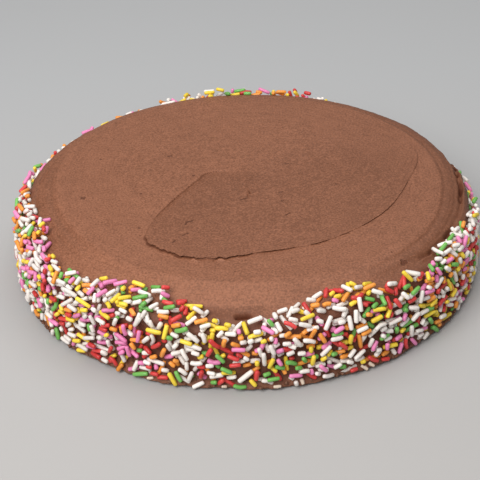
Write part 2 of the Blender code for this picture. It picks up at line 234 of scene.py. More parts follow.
class CakeShape:
    """The skin of the cake for one set of sizes. torn=True tears the spiral's edge as the
    icing has it; the solid's edge is even."""

    def __init__(self, sizes, torn=False):
        self.foot = sizes.foot_radius
        self.wall = sizes.foot_radius - sizes.wall_lean
        self.plateau = sizes.top_height
        self.torn = torn

    def border_radius(self, angle):
        """Where the flat top ends."""
        return through(BORDER_RADIUS_MM, angle) * MM

    def ledge_radius(self, angle):
        """The spiral edge, kept inside the flat top, and ragged where it was torn."""
        edge = through(LEDGE_RADIUS_MM, angle) * MM
        if self.torn:
            ragged = ripple(on_ring(angle), TORN_WAVELENGTH, SEED + 20)
            ragged = ragged + 0.6 * ripple(on_ring(angle), TORN_WAVELENGTH / 2.3, SEED + 21)
            edge = edge + TORN_WAVE * ragged * (0.15 + 0.85 * window(angle, -136, -92, 12))
        return np.minimum(edge, self.border_radius(angle) - LEDGE_CLEARANCE)

    def top_height(self, radius, angle):
        """The icing's top: a low crown, the spiral step that fades inwards from its edge,
        and past the border a rim that slopes down from a soft crease."""
        border = self.border_radius(angle)
        ledge = self.ledge_radius(angle)
        step = through(LEDGE_STEP_MM, angle) * MM
        reach = np.where(step > 0, RAISED_REACH, SUNK_REACH)
        inside = smooth((ledge - radius) / LEDGE_WIDTH + 0.5)
        fade = np.exp(-np.maximum(ledge - radius, 0.0) / reach) * smooth(radius / MIDDLE_FADE)
        crown = CROWN * np.maximum(1.0 - (radius / border) ** 2, 0.0)
        drop = CREASE_WIDTH * np.logaddexp(0.0, (radius - border) / CREASE_WIDTH)
        return self.plateau + crown + step * inside * fade - through(RIM_SLOPE, angle) * drop

    def skin(self, angle, row):
        """Points of the skin. Rows run from the middle of the top (0) over the spiral step
        (1 to 2), to the border (3), the rim's outer edge (4), round the shoulder, which is
        a quadratic curve, to the wall (5), straight down to the foot (6) and under its
        rounding (7)."""
        angle, row = np.broadcast_arrays(np.asarray(angle, float), np.asarray(row, float))
        ledge = self.ledge_radius(angle)
        rim = through(RIM_RADIUS_MM, angle) * MM
        wall_top = through(WALL_TOP_MM, angle) * MM
        half = LEDGE_WIDTH / 2
        stops = [np.zeros_like(ledge), ledge - half, ledge + half, self.border_radius(angle), rim]
        radius = np.zeros_like(row)
        for number in range(4):
            part = np.clip(row - number, 0.0, 1.0)
            radius = radius + part * (stops[number + 1] - stops[number])
        height = self.top_height(radius, angle)

        t = np.clip(row - 4.0, 0.0, 1.0)
        rim_height = self.top_height(rim, angle)
        corner = rim_height - through(RIM_SLOPE, angle) * (self.wall - rim)
        over = row > 4.0
        radius = np.where(over, (1 - t) ** 2 * rim + (1 - (1 - t) ** 2) * self.wall, radius)
        curve = (1 - t) ** 2 * rim_height + 2 * t * (1 - t) * corner + t * t * wall_top
        height = np.where(over, curve, height)

        down = np.clip(row - 5.0, 0.0, 1.0)
        under = np.clip(row - 6.0, 0.0, 1.0)
        radius = radius + (self.foot - self.wall) * down - FOOT_INSET * under
        height = height + (FOOT_ROUND - wall_top) * down - FOOT_ROUND * under

        points = np.stack([radius * np.cos(angle), radius * np.sin(angle), height], -1)
        side = smooth((row - 3.4) / 1.2) * SIDE_WAVE * ripple(points, SIDE_WAVELENGTH, SEED)
        top = smooth(4.6 - row) * TOP_WAVE * ripple(points, TOP_WAVELENGTH, SEED + 1)
        points[..., 0] += side * np.cos(angle)
        points[..., 1] += side * np.sin(angle)
        points[..., 2] += top
        return points

    def side_line(self, angle):
        """Rows of the skin from the foot up the side, and at each angle how far up the skin
        from the foot each row lies."""
        rows = np.linspace(*SIDE_ROWS, SIDE_POINTS)
        line = self.skin(angle[:, None], rows)
        step = np.linalg.norm(np.diff(line, axis=1), axis=-1)
        climb = np.concatenate([np.zeros((len(angle), 1)), step.cumsum(axis=1)], axis=1)
        return rows, climb

    def side_point(self, angle, climb):
        """The point of the side that lies a given way up the skin, and its row."""
        rows, reach = self.side_line(angle)
        row = np.array([np.interp(c, far, rows) for c, far in zip(climb, reach)])
        return self.skin(angle, row), row

    def side_table(self):
        """The skin's row by angle and by way up the side, on an even grid."""
        angle = np.arange(TABLE_ANGLES) * TURN / TABLE_ANGLES
        rows, reach = self.side_line(angle)
        climbs = np.linspace(0.0, TABLE_CLIMB, TABLE_STEPS)
        return np.array([np.interp(climbs, far, rows) for far in reach])

    def spot(self, table, angle, climb):
        """The point of the side that lies a given way up the skin, and its row, which is
        read between the entries of the table."""
        round_it = angle % TURN / TURN * TABLE_ANGLES
        up_it = np.clip(climb / TABLE_CLIMB, 0.0, 1.0) * (TABLE_STEPS - 1.001)
        i, j = round_it.astype(int) % TABLE_ANGLES, up_it.astype(int)
        f, g = round_it - np.floor(round_it), up_it - j
        after = (i + 1) % TABLE_ANGLES
        row = (1 - f) * ((1 - g) * table[i, j] + g * table[i, j + 1])
        row = row + f * ((1 - g) * table[after, j] + g * table[after, j + 1])
        return self.skin(angle, row), row

    def side_frame(self, angle, row):
        """The ways round the side, up it and out of it, at right angles to each other."""
        turn, shift = 0.002, 0.02
        round_it = self.skin(angle + turn, row) - self.skin(angle - turn, row)
        up_it = self.skin(angle, row - shift) - self.skin(angle, row + shift)
        round_it /= np.linalg.norm(round_it, axis=-1, keepdims=True)
        up_it -= round_it * (up_it * round_it).sum(-1, keepdims=True)
        up_it /= np.linalg.norm(up_it, axis=-1, keepdims=True)
        return round_it, up_it, np.cross(round_it, up_it)

    def highest_climb(self, angle):
        """How far up the skin the middles of the sprinkles reach."""
        rows, climb = self.side_line(angle)
        edge = np.argmin(np.abs(rows - RIM_EDGE))
        return climb[:, edge] + through(SPRINKLE_REACH_MM, angle) * MM


class Rods:
    """Sprinkles as arrays: their middles, half axes, the ways out of the icing, and radii."""

    def __init__(self):
        self.middle = np.zeros((0, 3))
        self.half = np.zeros((0, 3))
        self.out = np.zeros((0, 3))
        self.radius = np.zeros(0)

    def add(self, middle, half, out, radius):
        """Puts one more at the end, or several."""
        self.middle = np.concatenate([self.middle, np.atleast_2d(middle)])
        self.half = np.concatenate([self.half, np.atleast_2d(half)])
        self.out = np.concatenate([self.out, np.atleast_2d(out)])
        self.radius = np.concatenate([self.radius, np.atleast_1d(radius)])


def lay_rods(shape, angle, climb, spin, length, radius):
    """Rods on the side: each runs between two points of the skin, raised until it lies
    partly sunk. Gives their middles, half axes, the ways out, and how far the skin bulges
    between the two points."""
    middle, row = shape.side_point(angle, climb)
    _, _, out = shape.side_frame(angle, row)
    across = np.cos(spin) * length / 2 / np.hypot(middle[:, 0], middle[:, 1])
    rise = np.sin(spin) * length / 2
    start, _ = shape.side_point(angle - across, climb - rise)
    end, _ = shape.side_point(angle + across, climb + rise)
    half = end - start
    half *= (length / 2 / np.linalg.norm(half, axis=1))[:, None]
    between = (start + end) / 2
    bulge = ((middle - between) * out).sum(-1)
    lift = radius * (1.0 - ROD_SUNK) + bulge * BULGE_SHARE
    return between + out * lift[:, None], half, out, bulge


def gap_to_rods(middle, half, others, other_halves):
    """The least distance from one rod's axis to those of the others: points along it, each
    set against every other axis as a straight piece."""
    points = middle + STATIONS[:, None] * half
    away = points[:, None] - others[None]
    length2 = (other_halves ** 2).sum(-1)
    t = np.clip((away * other_halves).sum(-1) / length2, -1.0, 1.0)
    return np.linalg.norm(away - t[..., None] * other_halves, axis=-1).min()


def place_first_rods(shape, radius):
    """The largest sprinkles, spread evenly over the side by the same seeded draws as in
    the solid: of a few draws for each rod, the clear one farthest from the others."""
    draw = np.random.default_rng(SEED)
    many = ROD_COUNT * ROD_TRIES
    angle = draw.uniform(-math.pi, math.pi, many)
    reach = shape.highest_climb(angle) - LOWEST_CLIMB
    climb = LOWEST_CLIMB + reach * draw.uniform(0.0, 1.0, many)
    spin = draw.uniform(0.0, math.pi, many)
    length = np.repeat(np.linspace(ROD_LONGEST, ROD_SHORTEST, ROD_COUNT), ROD_TRIES)
    middle, half, out, bulge = lay_rods(shape, angle, climb, spin, length, radius)
    clear = middle[:, 2] - np.abs(half[:, 2]) > radius + FLOOR_GAP
    clear &= bulge < MOST_BULGE
    kept = []
    for first in range(0, many, ROD_TRIES):
        best, best_room = None, -1.0
        for k in range(first, first + ROD_TRIES):
            if not clear[k]:
                continue
            room = 1.0
            if kept:
                gap = gap_to_rods(middle[k], half[k], middle[kept], half[kept])
                if gap < 2 * radius + ROD_GAP:
                    continue
                room = np.linalg.norm(middle[kept] - middle[k], axis=1).min()
            if room > best_room:
                best, best_room = k, room
        if best is not None:
            kept.append(best)
    rods = Rods()
    rods.add(middle[kept], half[kept], out[kept], np.full(len(kept), radius))
    return rods


def rest_on_pile(rods, middle, half, out, radius, floor):
    """How high and at what slope a rod comes to rest over a spot: at points along it the
    icing and the rods below ask for a height, and the lowest straight line over those
    heights at the rod's middle is taken. Heights are measured from middle, along out."""
    length = np.linalg.norm(half)
    along = half / length
    aside = np.cross(out, along)
    x = STATIONS * length
    need = floor.copy()
    offset = rods.middle - middle
    reach = length + np.linalg.norm(rods.half, axis=1) + 4 * radius
    near = np.linalg.norm(offset, axis=1) < reach
    if near.any():
        offset, axes = offset[near], rods.half[near]
        ax, aw, ah = offset @ along, offset @ aside, offset @ out
        bx, bw, bh = axes @ along, axes @ aside, axes @ out
        flat2 = np.maximum(bx * bx + bw * bw, 1e-12)
        t = np.clip(((x[:, None] - ax) * bx - aw * bw) / flat2, -1.0, 1.0)
        gap2 = (ax + t * bx - x[:, None]) ** 2 + (aw + t * bw) ** 2
        reach2 = (NESTING * (radius + rods.radius[near])) ** 2
        over = ah + t * bh + np.sqrt(np.maximum(reach2 - gap2, 0.0))
        need = np.maximum(need, np.where(gap2 < reach2, over, -1.0).max(axis=1))
    height = (need[None] - SLOPES[:, None] * x[None]).max(axis=1)
    best = np.argmin(height + STEEPNESS_COST * np.abs(SLOPES))
    return height[best], SLOPES[best]


def skirt(height):
    """How far the icing that was pushed down to the foot stands out at each height, in
    parts of its reach: a round hill that falls off faster below its top."""
    above = height - SKIRT_HEIGHT
    return hill(above, np.where(above > 0, SKIRT_FADE, SKIRT_UNDERCUT))


def skirt_reach(points):
    """How far the icing stands out at the foot: the skirt's hill, uneven along the way
    round and in small lumps."""
    uneven = 1.0 + 0.2 * ripple(points, 15.0 * MM, SEED + 43)
    lumps = ripple(points, 3.6 * MM, SEED + 44) + ripple(points, 2.2 * MM, SEED + 45)
    uneven = uneven + 0.09 * lumps
    return skirt(points[..., 2]) * np.maximum(uneven, 0.25) * SKIRT_REACH


def lay_over(shape, rods, draw, wanted, tries, angle, climb, length, radius, pile):
    """Small things laid one after another over those already there, at seeded places,
    until the wanted number lie there or no places are left. Of a few draws the one that
    comes to lie lowest is kept, up to pile over the icing. Most lie nearer to level than
    upright: for a draw u the spin is pi u - 0.35 sin(2 pi u). The steepest slope stands for
    all that are steeper, so it is refused."""
    many = len(angle)
    spin = draw.uniform(0.0, 1.0, many)
    spin = math.pi * spin - LEVELLING * np.sin(TURN * spin)
    sunk = draw.uniform(*SUNK_SHARES, many)
    table = shape.side_table()
    middle, row = shape.spot(table, angle, climb)
    round_it, up_it, out = shape.side_frame(angle, row)
    way = round_it * np.cos(spin)[:, None] + up_it * np.sin(spin)[:, None]
    half = way * (length / 2)[:, None]
    across = np.cos(spin) * length / 2 / np.hypot(middle[:, 0], middle[:, 1])
    rise = np.sin(spin) * length / 2
    angles = (angle[:, None] + across[:, None] * STATIONS).ravel()
    climbs = (climb[:, None] + rise[:, None] * STATIONS).ravel()
    on_skin, _ = shape.spot(table, angles, climbs)
    on_skin = on_skin.reshape(many, len(STATIONS), 3)
    pushed = skirt_reach(on_skin)
    on_skin = on_skin - middle[:, None]
    floor = (on_skin * out[:, None]).sum(-1) + pushed + (radius * (1.0 - sunk))[:, None]

    placed = 0
    for first in range(0, many - tries, tries):
        if placed == wanted:
            break
        best = None
        for k in range(first, first + tries):
            height, slope = rest_on_pile(rods, middle[k], half[k], out[k], radius[k], floor[k])
            if height > min(HIGHEST_PILE, floor[k].max() + pile):
                continue
            if abs(slope) >= STEEPEST:
                continue
            axis = half[k] + out[k] * slope * length[k] / 2
            axis *= length[k] / 2 / np.linalg.norm(axis)
            place = middle[k] + out[k] * height
            if place[2] - abs(axis[2]) < radius[k] + LEAST_GAP:
                continue
            if place[2] + abs(axis[2]) + radius[k] > TALLEST:
                continue
            ends = np.hypot(*(place + ENDS * axis)[:, :2].T)
            if ends.max() + radius[k] > FARTHEST_OUT:
                continue
            if best is None or height < best[0]:
                best = (height, place, axis, out[k], radius[k])
        if best is not None:
            rods.add(*best[1:])
            placed += 1


def strew_sprinkles(shape, rods, settings):
    """The other sprinkles: thinner towards their upper limit and over the bare foot at the
    front, lower at the left of the back, and in loose clumps. A seventh of them are broken
    short. share is how far up a sprinkle lies, from 0 at the foot to 1 at the limit."""
    draw = np.random.default_rng(SEED + 3)
    many = settings.strewn * DRAWS_EACH
    angle = draw.uniform(-math.pi, math.pi, many)
    share = draw.uniform(0.0, 1.0, many)
    dense = through(STREWN_BY_ANGLE, angle) * (0.15 + 0.85 * smooth((1.0 - share) / 0.2))
    bare = window(angle, -116, -58, 30)
    dense = dense * (1.0 - 0.8 * bare * smooth((0.14 - share) / 0.1))
    place = np.stack([100 * np.cos(angle), 100 * np.sin(angle), 35 * share], -1) * MM
    dense = dense * (0.86 + 0.2 * ripple(place, CLUMP_LENGTH, SEED + 9))
    drawn = draw.uniform(0.0, 1.0, many) < dense
    angle, share = angle[drawn], share[drawn]
    many = len(angle)
    highest = shape.highest_climb(angle) - BACK_LOWER * window(angle, 105, 165, 25)
    climb = LOWEST_STREWN + (highest - LOWEST_STREWN) * share
    length = draw.normal(LENGTH_MM, LENGTH_SPREAD_MM, many)
    length = np.clip(length, SHORTEST_MM, LONGEST_MM) * MM
    short = draw.uniform(0.0, 1.0, many) < BROKEN_SHARE
    length = np.where(short, draw.uniform(*BROKEN_MM, many) * MM, length)
    radius = settings.thickness / 2 * draw.normal(THICKER, THICKNESS_SPREAD, many)
    lay_over(
        shape, rods, draw, settings.strewn, STREWN_TRIES, angle, climb, length, radius,
        HIGHEST_PILE)


def strew_debris(shape, rods, count, seed, longest, thickest, highest):
    """Broken bits near the foot, most of them at the front: at most count, of lengths and
    thicknesses down to half the greatest, up to highest, thinning out upwards."""
    draw = np.random.default_rng(seed)
    many = 20 * count
    angle = draw.uniform(-math.pi, math.pi, many)
    kept = draw.uniform(0.0, 1.0, many) < 0.35 + 0.65 * window(angle, -160, -20, 30)
    angle = angle[kept]
    many = len(angle)
    climb = LOWEST_DEBRIS + highest * draw.uniform(0.0, 1.0, many) ** 1.8
    length = longest * draw.uniform(0.5, 1.0, many)
    radius = thickest / 2 * draw.uniform(0.5, 1.0, many)
    lay_over(shape, rods, draw, count, 1, angle, climb, length, radius, DEBRIS_PILE)


def rod_points(middle, half, out, radius, bend, kink, seed, lump=0.035, flat=1.0):
    """Rods as points (rod, ring, side): rings round a centre line that runs along the half
    axis and bows sideways by bend times 1 - |x| to the power kink. The ring's radius is
    full along the rod and shrinks round each end's edge. Each point is moved out or in by
    a share of the radius, lump, and the ring is pressed flat against the icing."""
    count = len(middle)
    length = np.linalg.norm(half, axis=1)
    end = (radius / length)[:, None]
    x = RING_PLACE + RING_INSET * end
    aside = np.cross(out, half)
    aside /= np.linalg.norm(aside, axis=1, keepdims=True)
    bow = bend[:, None] * (1.0 - np.abs(x) ** kink[:, None])
    line = middle[:, None] + half[:, None] * x[..., None] + aside[:, None] * bow[..., None]
    turn = -bend[:, None] * kink[:, None] * np.sign(x) * np.abs(x) ** (kink[:, None] - 1.0)
    tangent = half[:, None] + aside[:, None] * turn[..., None]
    tangent /= np.linalg.norm(tangent, axis=-1, keepdims=True)
    across = np.cross(tangent, np.broadcast_to(out[:, None], tangent.shape))
    across /= np.linalg.norm(across, axis=-1, keepdims=True)
    upward = np.cross(across, tangent)
    draw = np.random.default_rng(seed)
    spin = np.arange(RING_SIDES) * TURN / RING_SIDES + draw.uniform(0, TURN, count)[:, None]
    uneven = 1.0 + lump * draw.normal(size=(count, len(RING_WIDTH), RING_SIDES))
    size = radius[:, None, None] * RING_WIDTH[None, :, None] * uneven
    ring = (
        across[:, :, None] * np.cos(spin)[:, None, :, None]
        + upward[:, :, None] * np.sin(spin)[:, None, :, None] * flat
    )
    return line[:, :, None] + ring * size[..., None], line[:, 0], line[:, -1]


def tube_faces(count, rings, sides, first_pole):
    """Faces of count closed tubes: quads between rings, triangles to a pole at each end."""
    base = (np.arange(count) * rings * sides)[:, None, None]
    ring = base + (np.arange(rings - 1) * sides)[None, :, None]
    side = np.arange(sides)[None, None, :]
    after = (side + 1) % sides
    quads = np.stack([
        ring + side, ring + after, ring + sides + after, ring + sides + side,
    ], -1).reshape(-1, 4)
    start, last = base[:, 0], base[:, 0] + (rings - 1) * sides
    pole = (first_pole + 2 * np.arange(count))[:, None]
    side, after = side[0], after[0]
    pole_a = np.broadcast_arrays(pole, start + side)[0]
    pole_b = pole_a + 1
    near = np.stack([pole_a, start + after, start + side], -1).reshape(-1, 3)
    far = np.stack([pole_b, last + side, last + after], -1).reshape(-1, 3)
    return [quads, np.concatenate([near, far])]


def put_mesh(name, points, face_sets, material, values=None):
    """Makes an object from an array of points and arrays of faces, with values as float or
    vector attributes of its points."""
    mesh = bpy.data.meshes.new(name)
    mesh.vertices.add(len(points))
    mesh.vertices.foreach_set("co", np.ascontiguousarray(points, np.float32).ravel())
    corners = np.concatenate([faces.ravel() for faces in face_sets])
    sizes = np.concatenate([np.full(len(faces), faces.shape[1]) for faces in face_sets])
    mesh.loops.add(len(corners))
    mesh.loops.foreach_set("vertex_index", corners.astype(np.int32))
    mesh.polygons.add(len(sizes))
    mesh.polygons.foreach_set("loop_start", (np.cumsum(sizes) - sizes).astype(np.int32))
    mesh.update(calc_edges=True)
    if mesh.validate():
        raise RuntimeError(f"{name} has broken faces")
    for label, data in (values or {}).items():
        vector = data.ndim == 2
        layer = mesh.attributes.new(label, "FLOAT_VECTOR" if vector else "FLOAT", "POINT")
        layer.data.foreach_set("vector" if vector else "value", data.astype(np.float32).ravel())
    mesh.shade_smooth()
    mesh.materials.append(material)
    piece = bpy.data.objects.new(name, mesh)
    bpy.context.scene.collection.objects.link(piece)
    return piece


def keep(piece):
    """Fixes a finished piece to the cake's body, in place of the plain solid."""
    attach(piece, "root")
    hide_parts(CAKE_NODE)


class Sock:
    """A node's output that can be used in sums: each operator adds a Math node."""

    def __init__(self, tree, socket):
        self.tree = tree
        self.socket = socket

    def math(self, operation, *values, clamp=False):
        """Adds one Math node, fed by sockets and numbers."""
        node = self.tree.nodes.new("ShaderNodeMath")
        node.operation = operation
        node.use_clamp = clamp
        for place, value in enumerate(values):
            if isinstance(value, Sock):
                self.tree.links.new(value.socket, node.inputs[place])
            else:
                node.inputs[place].default_value = value
        return Sock(self.tree, node.outputs[0])

    def __add__(self, other):
        return self.math("ADD", self, other)

    def __radd__(self, other):
        return self.math("ADD", other, self)

    def __sub__(self, other):
        return self.math("SUBTRACT", self, other)

    def __rsub__(self, other):
        return self.math("SUBTRACT", other, self)

    def __mul__(self, other):
        return self.math("MULTIPLY", self, other)

    def __rmul__(self, other):
        return self.math("MULTIPLY", other, self)

    def clamped(self):
        """Kept between 0 and 1."""
        return self.math("ADD", self, 0.0, clamp=True)


class Finish:
    """A material in the making, with one method that adds any node."""

    def __init__(self, name, **constants):
        self.material = bpy.data.materials.new(name)
        self.material.use_nodes = True
        self.tree = self.material.node_tree
        self.shader = self.tree.nodes["Principled BSDF"]
        for label, value in constants.items():
            self.shader.inputs[label.replace("_", " ")].default_value = value

    def node(self, kind, settings=None, inputs=None, output=0):
        """Adds a node: its settings first, a ramp's stops among them, then the values or
        links of its sockets."""
        node = self.tree.nodes.new(kind)
        for label, value in (settings or {}).items():
            setattr(node, label, value)
        for label, value in (inputs or {}).items():
            if isinstance(value, Sock):
                self.tree.links.new(value.socket, node.inputs[label])
            else:
                node.inputs[label].default_value = value
        return Sock(self.tree, node.outputs[output])

    def attribute(self, name, output="Fac"):
        """What the mesh says about each of its points under a name."""
        return self.node("ShaderNodeAttribute", {"attribute_name": name}, output=output)

    def place(self):
        """The place on the piece, in metres."""
        return self.node("ShaderNodeTexCoord", output="Object")

    def noise(self, vector, scale, detail=2.0, rough=0.5):
        """Noise about 0, from -0.5 to 0.5. scale is one over the size of its features."""
        inputs = {"Vector": vector, "Scale": scale, "Detail": detail, "Roughness": rough}
        return self.node("ShaderNodeTexNoise", None, inputs) - 0.5

    def spots(self, vector, scale, size):
        """1 in small round spots strewn at random, 0 between them."""
        inputs = {"Vector": vector, "Scale": scale, "Randomness": 1.0}
        far = self.node("ShaderNodeTexVoronoi", None, inputs, output="Distance")
        return ((size - far) * (2.0 / size)).clamped()

    def marks(self, vector, strokes):
        """1 on short strokes of the top, 0 off them. Each stroke is a row of round dots,
        and a dot is 1 where the distance from its middle, seen from above, is less than
        half its width."""
        from_above = {0: vector, 1: (1.0, 1.0, 0.0)}
        flat = self.node("ShaderNodeVectorMath", {"operation": "MULTIPLY"}, from_above)
        total = 0.0
        for x0, y0, x1, y1, half in strokes:
            dots = 1 + math.ceil(math.hypot(x1 - x0, y1 - y0) / (1.6 * half))
            for share in np.linspace(0.0, 1.0, dots):
                spot = ((x0 + share * (x1 - x0)) * MM, (y0 + share * (y1 - y0)) * MM, 0.0)
                ends = {0: flat, 1: spot}
                far = self.node("ShaderNodeVectorMath", {"operation": "DISTANCE"}, ends, output=1)
                total = total + ((1.35 * half * MM - far) * (1.5 / (half * MM))).clamped()
        return total.clamped()

    def mix(self, share, first, second):
        """From the first colour to the second."""
        inputs = {0: share, 6: first, 7: second}
        return self.node("ShaderNodeMix", {"data_type": "RGBA"}, inputs, output=2)

    def feed(self, label, value):
        """Links what changes over the surface to one of the shader's own sockets."""
        self.tree.links.new(value.socket, self.shader.inputs[label])

    def bump(self, height):
        """Tilts the shading by a height in metres."""
        inputs = {"Height": height, "Distance": 1.0, "Strength": 1.0}
        self.feed("Normal", self.node("ShaderNodeBump", None, inputs))


def rgba(colour):
    """A colour with its opacity."""
    return (*colour, 1.0)


def icing_finish(settings):
    """Chocolate buttercream: a grainy satin top with streaks along the sweeps, dents and
    burst bubbles, lighter and darker sweeps, painted shade and sheen on its rims and
    spiral, painted shade in its cracks and pits, and a darker, rougher side."""
    finish = Finish("chocolate_icing", Specular_IOR_Level=0.35)
    place = finish.place()
    stroke = finish.attribute("stroke", "Vector")
    side = finish.attribute("side")
    recess_shade = finish.attribute("recess_shade")
    tone = finish.attribute("tone")
    streak = finish.noise(stroke, 1.0, 3.0, 0.6)
    fine_streak = finish.noise(stroke, 3.3, 2.0, 0.6)
    cloud = finish.noise(place, 22.0, 2.0)
    mottle = finish.noise(place, 170.0, 3.0, 0.6)
    grain = finish.noise(place, 1150.0, 2.0, 0.6)
    crumb = finish.noise(place, 420.0, 3.0, 0.6)
    smooth_top = 1.0 - side
    pits = finish.spots(place, 90.0, 0.05) + finish.spots(place, 230.0, 0.05) * 0.6
    marks = finish.marks(place, MARKS_MM)
    # painted shade: pits and marks are darkened in the colour as well as sunk by the bump
    holes_with_shade = (pits * 0.7 * smooth_top + marks).clamped()

    # tone, from the mesh, paints light and shade: shade on the rims, the front shoulder and the
    # spiral's leaf, sheen on the front bevel
    share = 0.5 + tone * 0.5 + cloud * 0.3 + streak * 0.4 + fine_streak * 0.4 + mottle * 0.55
    share = (share + grain * 2.5).clamped()
    top = finish.mix(share, rgba(settings.dark_colour), rgba(settings.light_colour))
    base = finish.mix((side + side * crumb * 1.3).clamped(), top, rgba(settings.side_colour))
    # painted shade: cracks, grooves, gaps and pits are mixed towards a dark colour where shade
    # falls
    base = finish.mix((recess_shade + holes_with_shade * 0.7).clamped(), base, rgba(settings.recess_shade_colour))
    finish.feed("Base Color", base)
    finish.feed("Roughness", 0.53 + side * 0.12 + recess_shade * 0.35 + grain * 0.2 + streak * 0.12)
    height = (streak * 0.00015 + fine_streak * 0.00007) * smooth_top + mottle * 0.00022
    height = height + grain * 0.0002 + crumb * (0.00006 + side * 0.0006)
    finish.bump(height - holes_with_shade * 0.0004)
    return finish.material


def sugar_finish(name, colour, roughness):
    """Sugar paste sprinkles: a dull shine, each a little lighter or darker than the next."""
    finish = Finish(name, Specular_IOR_Level=0.4)
    tone = finish.attribute("tone")
    grain = finish.noise(finish.place(), 900.0, 2.0)
    deep = tuple(c * 0.80 for c in colour)
    pale = tuple(min(1.0, c * 1.04 + 0.02) for c in colour)
    share = (0.5 + tone * 0.5 + grain * 0.35).clamped()
    finish.feed("Base Color", finish.mix(share, rgba(deep), rgba(pale)))
    finish.feed("Roughness", roughness + grain * 0.15)
    finish.bump(grain * 0.00006)
    return finish.material


class IcingSettings(bpy.types.PropertyGroup):
    """Sizes and colours of the iced layer."""
    foot_radius: FloatProperty(
        name="Foot radius", description="Radius of the iced cake where it stands",
        default=0.1055, min=0.05, unit="LENGTH")
    wall_lean: FloatProperty(
        name="Wall lean", description="How far the wall leans in from its foot to its top",
        default=0.0025, unit="LENGTH")
    top_height: FloatProperty(
        name="Top height", description="Height of the flat top at its border",
        default=0.0363, min=0.01, unit="LENGTH")
    # Besides the sweeps' own darker icing, the dark colour is where the painted shade of the tone
    # leads
    dark_colour: FloatVectorProperty(
        name="Dark colour", description="The icing where the sweeps left it darker", size=3,
        subtype="COLOR", default=(0.155, 0.0545, 0.0235))
    # Besides the sweeps' own paler icing, the light colour is where the painted sheen of the tone
    # leads
    light_colour: FloatVectorProperty(
        name="Light colour", description="The icing where the sweeps left it paler", size=3,
        subtype="COLOR", default=(0.309, 0.1225, 0.064))
    side_colour: FloatVectorProperty(
        name="Side colour", description="The rough icing under the sprinkles", size=3,
        subtype="COLOR", default=(0.152, 0.057, 0.033))
    # painted shade: the colour that cracks, grooves, gaps and pits are darkened to
    recess_shade_colour: FloatVectorProperty(
        name="Cavity colour", description="The icing in cracks and pits", size=3,
        subtype="COLOR", default=(0.085, 0.020, 0.005))


class SprinkleSettings(bpy.types.PropertyGroup):
    """Sizes, numbers and colours of the sprinkles, the flakes and the crumbs."""
    thickness: FloatProperty(
        name="Thickness", description="Thickness of a sprinkle", default=0.00182,
        min=0.0005, unit="LENGTH")
    strewn: IntProperty(
        name="Strewn", description="Sprinkles to lay over the first ones, while there is room",
        default=2200, min=0)
    flakes: IntProperty(
        name="Flakes", description="Broken flakes of sprinkle to lay, while there is room",
        default=40, min=0)
    crumbs: IntProperty(
        name="Crumbs", description="Crumbs of icing to lay near the foot, while there is room",
        default=130, min=0)
    crumb_colour: FloatVectorProperty(
        name="Crumb colour", description="Crumbs of icing", size=3, subtype="COLOR",
        default=(0.17, 0.070, 0.036))
    white: FloatVectorProperty(
        name="White", description="White sprinkles", size=3, subtype="COLOR",
        default=(0.875, 0.815, 0.765))
    orange: FloatVectorProperty(
        name="Orange", description="Orange sprinkles", size=3, subtype="COLOR",
        default=(0.90, 0.33, 0.045))
    pink: FloatVectorProperty(
        name="Pink", description="Pink sprinkles", size=3, subtype="COLOR",
        default=(0.85, 0.25, 0.50))
    red: FloatVectorProperty(
        name="Red", description="Red sprinkles", size=3, subtype="COLOR",
        default=(0.645, 0.043, 0.040))
    yellow: FloatVectorProperty(
        name="Yellow", description="Yellow sprinkles", size=3, subtype="COLOR",
        default=(0.93, 0.68, 0.050))
    green: FloatVectorProperty(
        name="Green", description="Green sprinkles", size=3, subtype="COLOR",
        default=(0.17, 0.47, 0.095))
    cream: FloatVectorProperty(
        name="Cream", description="Broken flakes", size=3, subtype="COLOR",
        default=(0.72, 0.58, 0.46))


class StageSettings(bpy.types.PropertyGroup):
    """Where the camera stands, and the light and the floor."""
    elevation: FloatProperty(
        name="Elevation", description="How far above the horizon the camera stands",
        default=math.radians(32.26), subtype="ANGLE")
    roll: FloatProperty(
        name="Roll", description="How far the camera is turned about its own axis",
        default=math.radians(-1.59), subtype="ANGLE")
    distance: FloatProperty(
        name="Distance", description="From the camera to the middle of the cake's foot",
        default=0.591, min=0.1, unit="LENGTH")
    view_angle: FloatProperty(
        name="View angle", description="The camera's angle of view", default=math.radians(22.07),
        subtype="ANGLE")
    shift_x: FloatProperty(
        name="Shift X", description="Sideways shift of the frame, in frame widths",
        default=-0.0147)
    shift_y: FloatProperty(
        name="Shift Y", description="Upward shift of the frame, in frame widths",
        default=0.0227)
    key_power: FloatProperty(
        name="Key light", description="Power of the large light above the front left",
        default=11.5, min=0.0, unit="POWER")
    top_power: FloatProperty(
        name="Top light", description="Power of the large light overhead", default=5.0,
        min=0.0, unit="POWER")
    sky: FloatProperty(
        name="Sky", description="Strength of the light from all round", default=0.33, min=0.0)
    # painted light: the floor's warm front and cooler back stand in for the warmer light in front
    floor_front: FloatVectorProperty(
        name="Floor in front", description="The pale floor in front", size=3, subtype="COLOR",
        default=(0.412, 0.4035, 0.397))
    floor_back: FloatVectorProperty(
        name="Floor behind", description="The pale floor behind", size=3, subtype="COLOR",
        default=(0.4275, 0.4355, 0.444))


